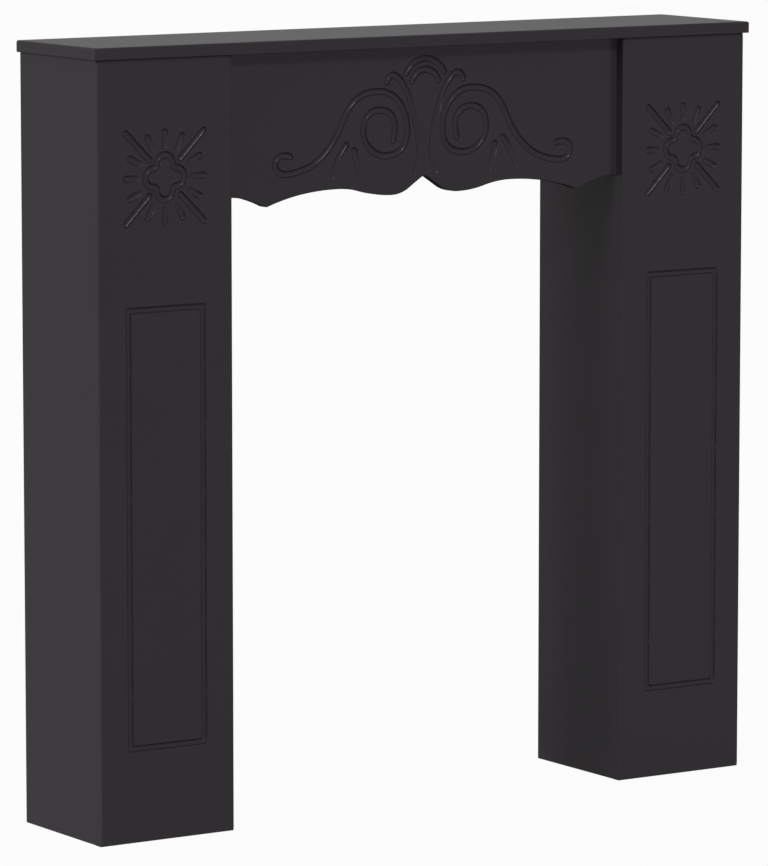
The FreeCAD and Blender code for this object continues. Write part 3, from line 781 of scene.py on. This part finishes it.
def camera():
    data = bpy.data.cameras.new("camera")
    data.sensor_width = SENSOR
    data.lens = CAMERA_FOCAL * SENSOR / PHOTO_HEIGHT
    data.clip_end = CLIP_END
    piece = bpy.data.objects.new("camera", data)
    piece.location = CAMERA_PLACE
    piece.rotation_euler = (math.radians(90 - CAMERA_TILT), 0, math.radians(CAMERA_TURN))
    bpy.context.scene.collection.objects.link(piece)
    bpy.context.scene.camera = piece


# Finishes; a cut edge soaks up its paint and keeps no lacquer and no shine.
PAINT = charcoal_paint("charcoal_paint", LACQUER, PAINT_SPECULAR)
CUT_EDGE = charcoal_paint("charcoal_cut_edge", 0, 0)
BOARD = raw_board()
ZINC = zinc_steel()
PINE = [wood(f"pine_{axis}", number, PINE_TONES, PINE_RINGS) for number, axis in enumerate("xyz")]
BEECH = [wood(f"beech_{axis}", number, BEECH_TONES, BEECH_RINGS) for number, axis in enumerate("xyz")]
BACK = Vector((0, 1, 0))
DOWN = Vector((0, 0, -1))
OUT_X = Vector((1, 0, 0))

slots = {subpart["node"]: subpart["material_slot"] for subpart in frame["record"]["subparts"]}

# Carved boards
carved = {"header_panel": header()}
for side in ("left", "right"):
    carved[f"{side}_front_panel"] = pilaster_front(f"{side}_front_panel")
paint_cut_edges(carved["header_panel"])
for node, mesh in carved.items():
    leave_raw(mesh, [BACK])
    finished(node, mesh, [PAINT, BOARD, CUT_EDGE])

# Plain boards
shelf = plain_board("mantel_shelf", [
    (SHELF_EDGE_RADIUS, SHELF_EDGE_STEPS, lambda middle, low, high: middle.z == high.z),
    (SHELF_ARRIS, ARRIS_STEPS, lambda middle, low, high: middle.z == low.z),
])
finished("mantel_shelf", shelf, [PAINT])
for side, sign in (("left", -1), ("right", 1)):
    for place, inward in (("outer", -sign), ("inner", sign)):
        node = f"{side}_{place}_side"
        board = plain_board(node, [
            (BOARD_ARRIS, ARRIS_STEPS, lambda middle, low, high: middle.y == high.y or middle.z == low.z)])
        leave_raw(board, [OUT_X * inward, DOWN])
        finished(node, board, [PAINT, BOARD])
for node, slot in slots.items():
    if node.endswith(("_rail", "_plate", "_batten")):
        low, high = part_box(node)
        size = high - low
        along = max(range(3), key=lambda axis: size[axis])
        board = plain_board(node, [(BOARD_ARRIS, ARRIS_STEPS, lambda middle, low, high: True)])
        finished(node, board, [PINE[along] if slot == "pine" else BOARD])

# Joints and fixings keep their CAD shapes. The glue blocks' grain runs up, the dowels' along each peg.
FINISHES = {"charcoal_paint": PAINT, "raw_board": BOARD, "pine": PINE[2], "zinc_steel": ZINC}
PEG_AXES = {"left_front_dowels": 1, "right_front_dowels": 1, "shelf_dowels": 2}
for node, piece in frame["nodes"].items():
    slot = slots[node]
    piece.data.materials.clear()
    piece.data.materials.append(BEECH[PEG_AXES.get(node, 0)] if slot == "beech" else FINISHES[slot])

floor()
surroundings()
for name, settings in LAMPS.items():
    lamp(name, *settings)
camera()
bpy.context.scene.view_settings.view_transform = "Standard"
